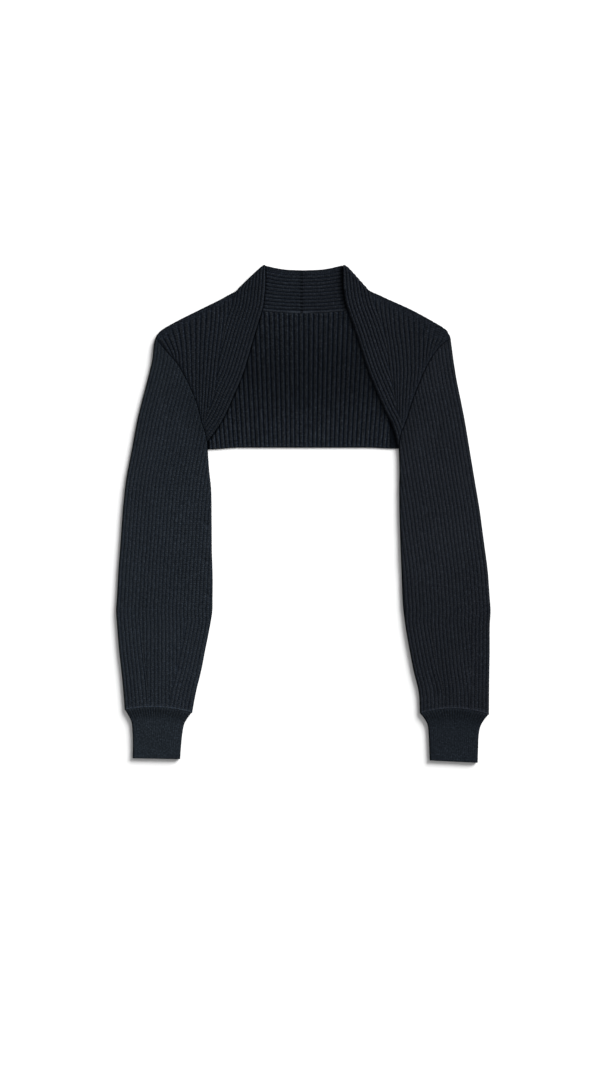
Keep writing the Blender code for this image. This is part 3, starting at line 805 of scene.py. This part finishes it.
def collar_row(knit, side, folds, t, out):
    """A section of the collar: where it shows, so far out, or part of the way there, hidden."""
    sign = SIDES[side]
    hidden = out is None
    places = []
    for k, (fold, way) in enumerate(folds):
        # Where the line lies: the ribs that turn over at the fold start from there
        ribs_down = k / FINE
        place = mix(fold.x + way.x, COLLAR_SHOWN, t) if hidden else out
        free = clamp((ribs_down - FOLDED_RIBS) / (BAND_RIBS - FOLDED_RIBS), 0.0, 1.0)
        top, neck = COLLAR_TOP.at(place), COLLAR_NECK.at(place) - NECK_LAP
        y = mix(top, neck, k / BAND_STEPS * mix(free, 1.0, t))
        if hidden and ribs_down <= FOLDED_RIBS:
            y += (fold.y + way.y - top) * (1 - t)

        # Its relief: ribs, the bead of the neck seam, and the pull of the middle seam
        wale = COLLAR_PITCH * ribs_down - COLLAR_START
        to_middle = place - collar_middle(side)
        flat = fading(ribs_down - 0.9, 0.9)
        crown = 0.0 if hidden else mix(rib(wale), 0.75, flat) * ease((BAND_STEPS - k) / 5.0)
        bead = fading(abs(BAND_STEPS - k - 1.7), 2.3)
        pull = fading(to_middle - 0.6, 2.6)
        height = BACK_WALL + sided(knit.rib_height, side) * crown * (1 + 0.2 * pull)
        height += 0.75 * bead - 0.5 * pull * (1 - crown)
        full = rounded(to_middle, 0.5)
        height, under = mix(BACK_MIDDLE, height, full), mix(BACK_MIDDLE, 0.0, full)

        # Its painted shade: beside the front edge, in dashes along the middle seam, and at the
        # upper edge
        notch_shade = COLLAR_NOTCH_SHADE[side]
        to_front = FRONT_EDGE[side].at(y) - place
        dark = mix(notch_shade.at_edge, notch_shade.away, ease(to_front / 4.0))
        reach = notch_shade.reach * (1.0 if bead < 0.5 else 0.5)
        shade = dark * fading(to_front, mix(reach, 0.45 * reach, crown))
        dash = clamp(2.1 - 2.1 * crown, 0.0, 1.0)
        shade = max(shade, 0.8 * dash * fading(to_middle - 1.6, 2.0))
        shade = max(shade, EDGE_TURN_SHADE.dark * fading(k, 2.2))
        # A painted highlight on the bead of the neck seam, brightest near the middle
        light = bead * mix(0.4, 1.8, ease(1.3 - abs(sign * place + 6.0) / 20.0))
        course = place / knit.course
        above = (sign * place, y, under, wale, course, 0.0, 0.0)
        below = (sign * place, y, height, wale, course, light, shade, max(flat, 0.3))
        places.append((above, below))
    return band_row(places)


def collar_middle(side):
    """How far out a half of the collar ends, at the centre of the back."""
    return SIDES[side] * CENTRE_X - CENTRE_LAP


def front_rows(knit, side):
    """A front and its half of the collar, from the front's lower tip to the centre of the back."""
    rows = []
    y = FRONT_TIP_Y[side]
    while y < NECK_Y:
        rows.append(front_row(knit, side, y))
        y += 1.2 if y > SHOULDER_Y - 4.0 else 2.4
    rows.insert(0, [rows[0][0]] * len(rows[0]))
    folds = [fold_place(side, k) for k in range(BAND_STEPS + 1)]
    rows += [neck_row(knit, side, folds, step / 10) for step in range(10)]
    rows += [fold_row(knit, side, folds, angle) for angle in range(0, 181, 20)]
    rows += [collar_row(knit, side, folds, t, None) for t in (0.2, 0.45, 0.7, 0.9)]
    shown = stations(COLLAR_SHOWN, collar_middle(side), COLLAR_ROWS)
    rows += [collar_row(knit, side, folds, 1.0, out) for out in shown]
    return rows


# Back


def fan(y):
    """How much wider the back's ribs stand at y than at the hem."""
    return 1.0 + FAN * (y - UNDERARM_Y) / (FAN_TOP_Y - UNDERARM_Y)


def back_column(knit, side, hem_out):
    """A line down the back, all round: up its upper face, and down underneath."""
    at_neck = hem_out * fan(NECK_Y) < COLLAR_NECK.xs[-1]

    def past_top(y):
        out = hem_out * fan(y)
        if at_neck:
            return y > COLLAR_NECK.at(out) - SEAM
        return out > SHOULDER[side].at(y)

    def inside(y):
        return hem_out * fan(y) < body_armhole(side, y)

    high = crossing(SHOULDER_Y, NECK_Y, past_top)
    at_hem = inside(UNDERARM_Y)
    low = UNDERARM_Y - HEM_DIP[side] * ramp(hem_out, *HEM_DIP_RIBS)
    if not at_hem:
        low = crossing(UNDERARM_Y, SHOULDER_Y, inside)
    high = max(high, low + 0.05)
    wale = hem_out / BACK_RIB
    sign = SIDES[side]
    column = []
    for y in stations(low, high, BACK_ROWS):
        out = hem_out * fan(y)
        to_low, to_high = y - low, high - y
        crown = rib(wale, 0.6) * ease(to_high / 2.2)
        hem = 0.0
        if at_hem:
            crown *= mix(0.35, 1.0, ease((to_low - 1.2) / 2.2))
            # The hem: ribs evened out, and a painted highlight along it
            hem = 0.3 * fading(abs(to_low - 1.9), 1.3)
        else:
            crown *= ease(to_low / 2.0)
        start, top, drop = POCKET[side]
        pocket = ease((out - start) / 1.4) * ease((top - y) / drop)
        to_front = (FRONT_EDGE[side].at(y) - out) / FRONT_EDGE[side].slant(y)
        # Painted shade: a dusk down the back, lighter under the neck, over the flat patch with a
        # darker border, and the shadow beside the front
        dusk = dusk_at(BACK_DUSK, y) * (1 - dusk_at(NECK_LIGHT, y))
        pocket_rim_shade = 0.97 * pocket * fading(abs(out - start - 1.4) - 0.7, 1.1)
        shade = max(0.6 * pocket, pocket_rim_shade, dusk, cast(FRONT_SHADOW[side], to_front))
        height = BACK_WALL + knit.back_rib_height * crown * (1 - pocket)
        height -= 0.25 * (1 - crown) * (1 - pocket)
        z = mix(BACK_MIDDLE, height, rounded(min(to_low, to_high), LIP))
        column.append(Spot(sign * out, y, z, wale, y / knit.course, hem, shade, pocket))
    for y in stations(high, low, BACK_ROWS // 2)[1:]:
        out = hem_out * fan(y)
        full = rounded(min(y - low, high - y), LIP)
        z = mix(BACK_MIDDLE, groove_below(knit.under_rib, rib(wale)), full)
        column.append(Spot(sign * out, y, z, wale, y / knit.course, 0.0, 0.0))
    return column


def back_rows(knit):
    """The back, all round, from its right armhole to its left one."""
    rows = []
    for side in SIDES:
        tip = body_armhole(side, SHOULDER_Y) / fan(SHOULDER_Y)
        places = [k * BACK_RIB / FINE for k in range(int(tip / BACK_RIB * FINE) + 1)]
        columns = [back_column(knit, side, out) for out in places + [tip]]
        columns.append([columns[-1][0]] * len(columns[0]))
        rows += columns[:0:-1] if side == "right" else columns
    return rows


# Finishes: how much of the yarn's colour the grooves keep under their painted shade, how sharp the
# crowns are, how ragged the ribs and how speckled the yarn are, how blue the shaded grooves turn,
# and how deep the stitches are
Finish = namedtuple("Finish", "groove sharp ragged speckle blue stitch_depth", defaults=(1.0,))
BACK_FINISH = Finish(0.06, 0.35, 0.45, 2.8, 2.0)
FRONT_FINISH = Finish(0.12, 0.45, 0.45, 2.3, 1.4)
SLEEVE_FINISH = Finish(0.51, 0.5, 0.7, 1.7, 0.8)
CUFF_FINISH = Finish(0.62, 0.5, 0.5, 2.0, 1.2, 0.7)
GROOVE_TINT = (0.80, 0.94, 1.16)


def node(tree, kind, *values, **settings):
    """Add a shader node, join or fill its inputs in order, and return its first output."""
    made = tree.nodes.new("ShaderNode" + kind)
    for name, value in settings.items():
        setattr(made, name, value)
    for socket, value in zip(made.inputs, values):
        if isinstance(value, bpy.types.NodeSocket):
            tree.links.new(value, socket)
        elif value is not None:
            socket.default_value = value
    return made.outputs[0]


def knit_finish(name, colour, knit, finish):
    """Rib knit: V-shaped stitches on each rib, painted shade in the grooves, fibre and a faint
    bloom.
    """
    material = bpy.data.materials.new(name)
    material.use_nodes = True
    tree = material.node_tree
    shader = tree.nodes["Principled BSDF"]
    place = tree.nodes.new("ShaderNodeUVMap")
    place.uv_map = "wales"
    axes = tree.nodes.new("ShaderNodeSeparateXYZ")
    tree.links.new(place.outputs[0], axes.inputs[0])
    wale, course = axes.outputs[0], axes.outputs[1]
    spot = tree.nodes.new("ShaderNodeTexCoord").outputs["Object"]

    def maths(operation, *values):
        return node(tree, "Math", *values, operation=operation)

    def times(one, other):
        return maths("MULTIPLY", one, other)

    def line(value, slope, start):
        return maths("MULTIPLY_ADD", value, slope, start)

    def wave(value, turns=1):
        return maths("ABSOLUTE", maths("SINE", times(value, turns * math.pi)))

    def noise(scale, detail):
        return node(tree, "TexNoise", spot, None, scale, detail)

    def attribute(name):
        made = tree.nodes.new("ShaderNodeAttribute")
        made.attribute_name = name
        return made.outputs["Fac"]

    def bump(height, strength, distance, normal=None):
        made = tree.nodes.new("ShaderNodeBump")
        made.inputs["Strength"].default_value = strength
        made.inputs["Distance"].default_value = distance * MM
        tree.links.new(height, made.inputs["Height"])
        if normal:
            tree.links.new(normal, made.inputs["Normal"])
        return made.outputs[0]

    grain = noise(470.0, 2.0)
    fibre = noise(1500.0, 3.0)

    # The rib's crown, and its stitches: two legs that lean towards the crown's middle
    sway = line(noise(420.0, 1.0), finish.ragged, -0.5 * finish.ragged)
    wale = maths("ADD", wale, sway)
    crown = maths("POWER", wave(wale), finish.sharp)
    crown = line(attribute("plain"), maths("SUBTRACT", 0.8, crown), crown)
    aside = maths("ABSOLUTE", maths("SUBTRACT", maths("FRACT", wale), 0.5))
    lean = line(aside, 1.5, line(noise(160.0, 2.0), 0.5, course))
    loop = maths("POWER", wave(lean), 0.6)
    leg = line(maths("POWER", wave(aside, 2), 0.5), 0.55, 0.45)
    stitch = times(loop, leg)

    # Tone: painted shade in the grooves, stitches, fibre and slow patches, lighter on finished
    # edges by a painted highlight, and darker by the painted shade in the depth attribute
    tone = line(crown, 1.0 - finish.groove, finish.groove)
    tone = times(tone, line(stitch, 0.8, 0.48))
    tone = times(tone, line(fibre, 1.1, 0.45))
    tone = times(tone, line(grain, finish.speckle, 1.0 - 0.5 * finish.speckle))
    tone = times(tone, line(noise(14.0, 2.0), 0.36, 0.82))
    fleck = maths("POWER", times(grain, 1.4), 14.0)
    tone = maths("ADD", tone, maths("MINIMUM", fleck, 0.2 * finish.speckle))
    # Finished edges: ribs evened out, and a painted highlight
    trim = attribute("trim")
    even = maths("MINIMUM", times(trim, 1.6), 0.9)
    tone = line(even, maths("SUBTRACT", 0.8, tone), tone)
    tone = times(tone, line(trim, knit.edge_highlight, 1.0))
    # Painted shade from the depth attribute darkens the colour
    tone = times(tone, line(attribute("depth"), -0.95, 1.0))

    # Colour: bluer in the painted shade of the grooves
    deep = [part * share**finish.blue for part, share in zip(colour, GROOVE_TINT)]
    rise = [part - low for part, low in zip(colour, deep)]
    warm = maths("POWER", crown, 2.5)
    paint = node(tree, "VectorMath", warm, rise, deep, operation="MULTIPLY_ADD")
    paint = node(tree, "VectorMath", paint, None, None, tone, operation="SCALE")
    tree.links.new(paint, shader.inputs["Base Color"])

    relief = times(stitch, crown)
    normal = bump(relief, 0.7, 0.8 * finish.stitch_depth, bump(fibre, 0.35, 0.3))
    tree.links.new(normal, shader.inputs["Normal"])
    shader.inputs["Roughness"].default_value = 0.92
    shader.inputs["Specular IOR Level"].default_value = 0.015
    shader.inputs["Specular Tint"].default_value = (0.55, 0.78, 1.0, 1.0)
    shader.inputs["Sheen Weight"].default_value = 0.007
    shader.inputs["Sheen Roughness"].default_value = 0.6
    shader.inputs["Sheen Tint"].default_value = (0.65, 0.8, 1.0, 1.0)
    return material


# The cut of each piece: its flat width and length in metres, and its area as laid out in square
# metres, all round on the tubes
CUT = {
    "back": (0.42, 0.2265, 0.0699),
    "front_right": (0.16, 0.36, 0.0233),
    "front_left": (0.16, 0.36, 0.0224),
    "sleeve_right": (0.274, 0.54, 0.1123),
    "sleeve_left": (0.274, 0.54, 0.1040),
    "cuff_right": (0.16, 0.072, 0.0109),
    "cuff_left": (0.16, 0.072, 0.0113),
}


def dress(piece, nodes_for, slot, finish, width, length, area, rests_on=()):
    """Give a piece its finish, hang it from the root and hide the solid that it stands for."""
    piece.data.materials.append(finish)
    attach(piece, "root")
    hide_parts(nodes_for)


def knit_pair(context, kind, rows, finish, rests_on=()):
    """Knit the right and the left one of a kind of piece."""
    knit = context.scene.sweater_knit
    for side in SIDES:
        name = f"{kind}_{side}"
        piece = shell(name + "_knit", rows(knit, side))
        made = knit_finish("knit_" + name, getattr(knit, name), knit, finish)
        dress(piece, name, "yarn_" + kind, made, *CUT[name], rests_on)


# Settings


def number(name, text, default, **more):
    return FloatProperty(name=name, description=text, default=default, **more)


def millimetres(name, text, default):
    return number(name, text, default, min=0.0, max=20.0)


def sides(name, text, default):
    return FloatVectorProperty(name=name, description=text, default=default, size=2)


def colour(name, text, default):
    return FloatVectorProperty(
        name=name, description=text, default=default, size=3, min=0.0, max=1.0, subtype="COLOR"
    )


class SweaterKnit(bpy.types.PropertyGroup):
    """Sizes of the knit, in millimetres, and the colours of its yarn."""

    rib_height: sides("Rib height", "How far each front's ribs stand up", (0.88, 0.7))
    sleeve_rib_height: millimetres("Sleeve rib height", "How far the sleeves' ribs stand up", 0.48)
    back_rib_height: millimetres("Back rib height", "How far the back's ribs stand up", 1.15)
    cuff_rib_height: millimetres("Cuff rib height", "How far the cuffs' ribs stand up", 0.3)
    under_rib: millimetres("Rib height below", "Depth of the grooves that face the floor", 0.6)
    course: millimetres("Course", "Height of a row of stitches", 2.9)
    cuff_course: millimetres("Cuff course", "Height of a row of stitches in a cuff", 1.7)
    scallop: sides("Scallop", "How far the ribs swell each shoulder", (0.5, 1.1))
    # The painted highlight on finished edges and seam beads
    edge_highlight: number("Edge light", "How much lighter the finished edges are", 1.8)
    sleeve_right: colour("Right sleeve", "Yarn of the right sleeve", (0.0124, 0.0149, 0.0182))
    sleeve_left: colour("Left sleeve", "Yarn of the left sleeve", (0.0109, 0.0122, 0.0149))
    cuff_right: colour("Right cuff", "Yarn of the right cuff", (0.0133, 0.0159, 0.0183))
    cuff_left: colour("Left cuff", "Yarn of the left cuff", (0.0102, 0.0120, 0.0142))
    front_right: colour("Right front", "Yarn of the right front", (0.0098, 0.0112, 0.0134))
    front_left: colour("Left front", "Yarn of the left front", (0.0097, 0.0108, 0.0129))
    back: colour("Back", "Yarn of the back", (0.0113, 0.0129, 0.0151))


class SweaterStage(bpy.types.PropertyGroup):
    """The floor, the light and the camera."""

    floor_size: number("Floor", "Width of the floor", 12.0, unit="LENGTH")
    floor_tone: number("Floor tone", "How pale the floor is", 0.9)
    key: number("Key", "Strength of the main light", 8.3)
    key_spread: number("Key spread", "Width of the main light", 0.75, subtype="ANGLE")
    fill: number("Fill", "Strength of the light all round", 0.38)
    lens: number("Lens", "Focal length, in millimetres", 85.0)


class SWEATER_OT_back(bpy.types.Operator):
    """Knit the back, whose inside shows between the fronts"""

    bl_idname = "sweater.back"
    bl_label = "Back"

    def execute(self, context):
        knit = context.scene.sweater_knit
        piece = shell("back_knit", back_rows(knit))
        finish = knit_finish("knit_back", knit.back, knit, BACK_FINISH)
        dress(piece, "back_panel", "yarn_back", finish, *CUT["back"])
        return {"FINISHED"}


class SWEATER_OT_fronts(bpy.types.Operator):
    """Knit both fronts, each in one piece with its half of the shawl collar"""

    bl_idname = "sweater.fronts"
    bl_label = "Fronts and collar"

    def execute(self, context):
        knit_pair(context, "front", front_rows, FRONT_FINISH, ["back_knit"])
        return {"FINISHED"}


class SWEATER_OT_sleeves(bpy.types.Operator):
    """Knit both sleeves, as flat tubes with two lines of decreases"""

    bl_idname = "sweater.sleeves"
    bl_label = "Sleeves"

    def execute(self, context):
        knit_pair(context, "sleeve", sleeve_rows, SLEEVE_FINISH)
        return {"FINISHED"}


class SWEATER_OT_cuffs(bpy.types.Operator):
    """Knit both cuffs, in a finer rib"""

    bl_idname = "sweater.cuffs"
    bl_label = "Cuffs"

    def execute(self, context):
        knit_pair(context, "cuff", cuff_rows, CUFF_FINISH)
        return {"FINISHED"}


class SWEATER_OT_stage(bpy.types.Operator):
    """Set the pale floor, the soft light from the upper right and the camera above"""

    bl_idname = "sweater.stage"
    bl_label = "Floor, light and camera"

    def execute(self, context):
        stage = context.scene.sweater_stage
        scene = context.scene
        mesh = bmesh.new()
        bmesh.ops.create_grid(mesh, x_segments=2, y_segments=2, size=stage.floor_size / 2)
        bmesh.ops.translate(mesh, verts=mesh.verts, vec=(0.0, 0.0, -FLOOR_GAP * MM))
        floor = placed("floor", mesh)
        paper = bpy.data.materials.new("pale_paper")
        paper.use_nodes = True
        tree = paper.node_tree
        shader = tree.nodes["Principled BSDF"]
        spot = tree.nodes.new("ShaderNodeTexCoord").outputs["Object"]
        grain = node(tree, "TexNoise", spot, None, 220.0, 3.0)
        tone = node(tree, "Math", grain, 0.02, stage.floor_tone, operation="MULTIPLY_ADD")
        tree.links.new(tone, shader.inputs["Base Color"])
        shader.inputs["Roughness"].default_value = 0.9
        shader.inputs["Specular IOR Level"].default_value = 0.1
        floor.data.materials.append(paper)

        lamp = bpy.data.lights.new("key", "SUN")
        lamp.energy = stage.key
        lamp.angle = stage.key_spread
        key = bpy.data.objects.new("key", lamp)
        key.rotation_euler = Vector(LIGHT_FROM).to_track_quat("Z", "Y").to_euler()
        scene.collection.objects.link(key)
        world = bpy.data.worlds.new("studio")
        world.use_nodes = True
        background = world.node_tree.nodes["Background"]
        background.inputs["Color"].default_value = (1.0, 1.0, 1.0, 1.0)
        background.inputs["Strength"].default_value = stage.fill
        scene.world = world

        camera_data = bpy.data.cameras.new("camera")
        camera_data.lens = stage.lens
        camera_data.sensor_width = 36.0
        camera_data.clip_end = 50.0
        camera = bpy.data.objects.new("camera", camera_data)
        distance = VIEW_HEIGHT * MM * stage.lens / camera_data.sensor_width
        across, up = VIEW_MIDDLE
        camera.location = (across * MM, up * MM, distance + TOP * MM)
        scene.collection.objects.link(camera)
        scene.camera = camera
        scene.view_settings.view_transform = "Standard"
        return {"FINISHED"}


class SWEATER_PT_panel(bpy.types.Panel):
    """The sweater's settings and steps"""

    bl_idname = "SWEATER_PT_panel"
    bl_label = "Ribbed sweater"
    bl_space_type = "VIEW_3D"
    bl_region_type = "UI"
    bl_category = "Sweater"

    def draw(self, context):
        for group in (context.scene.sweater_knit, context.scene.sweater_stage):
            for name in group.bl_rna.properties.keys():
                if name not in ("name", "rna_type"):
                    self.layout.prop(group, name)
        for step in STEPS:
            self.layout.operator(step.bl_idname)


STEPS = (
    SWEATER_OT_back, SWEATER_OT_fronts, SWEATER_OT_sleeves, SWEATER_OT_cuffs, SWEATER_OT_stage,
)
CLASSES = (SweaterKnit, SweaterStage) + STEPS + (SWEATER_PT_panel,)


def register():
    for item in CLASSES:
        bpy.utils.register_class(item)
    bpy.types.Scene.sweater_knit = PointerProperty(type=SweaterKnit)
    bpy.types.Scene.sweater_stage = PointerProperty(type=SweaterStage)


def unregister():
    del bpy.types.Scene.sweater_stage
    del bpy.types.Scene.sweater_knit
    for item in reversed(CLASSES):
        bpy.utils.unregister_class(item)


def main():
    register()
    bpy.ops.sweater.back()
    bpy.ops.sweater.fronts()
    bpy.ops.sweater.sleeves()
    bpy.ops.sweater.cuffs()
    bpy.ops.sweater.stage()


if __name__ == "__main__":
    main()
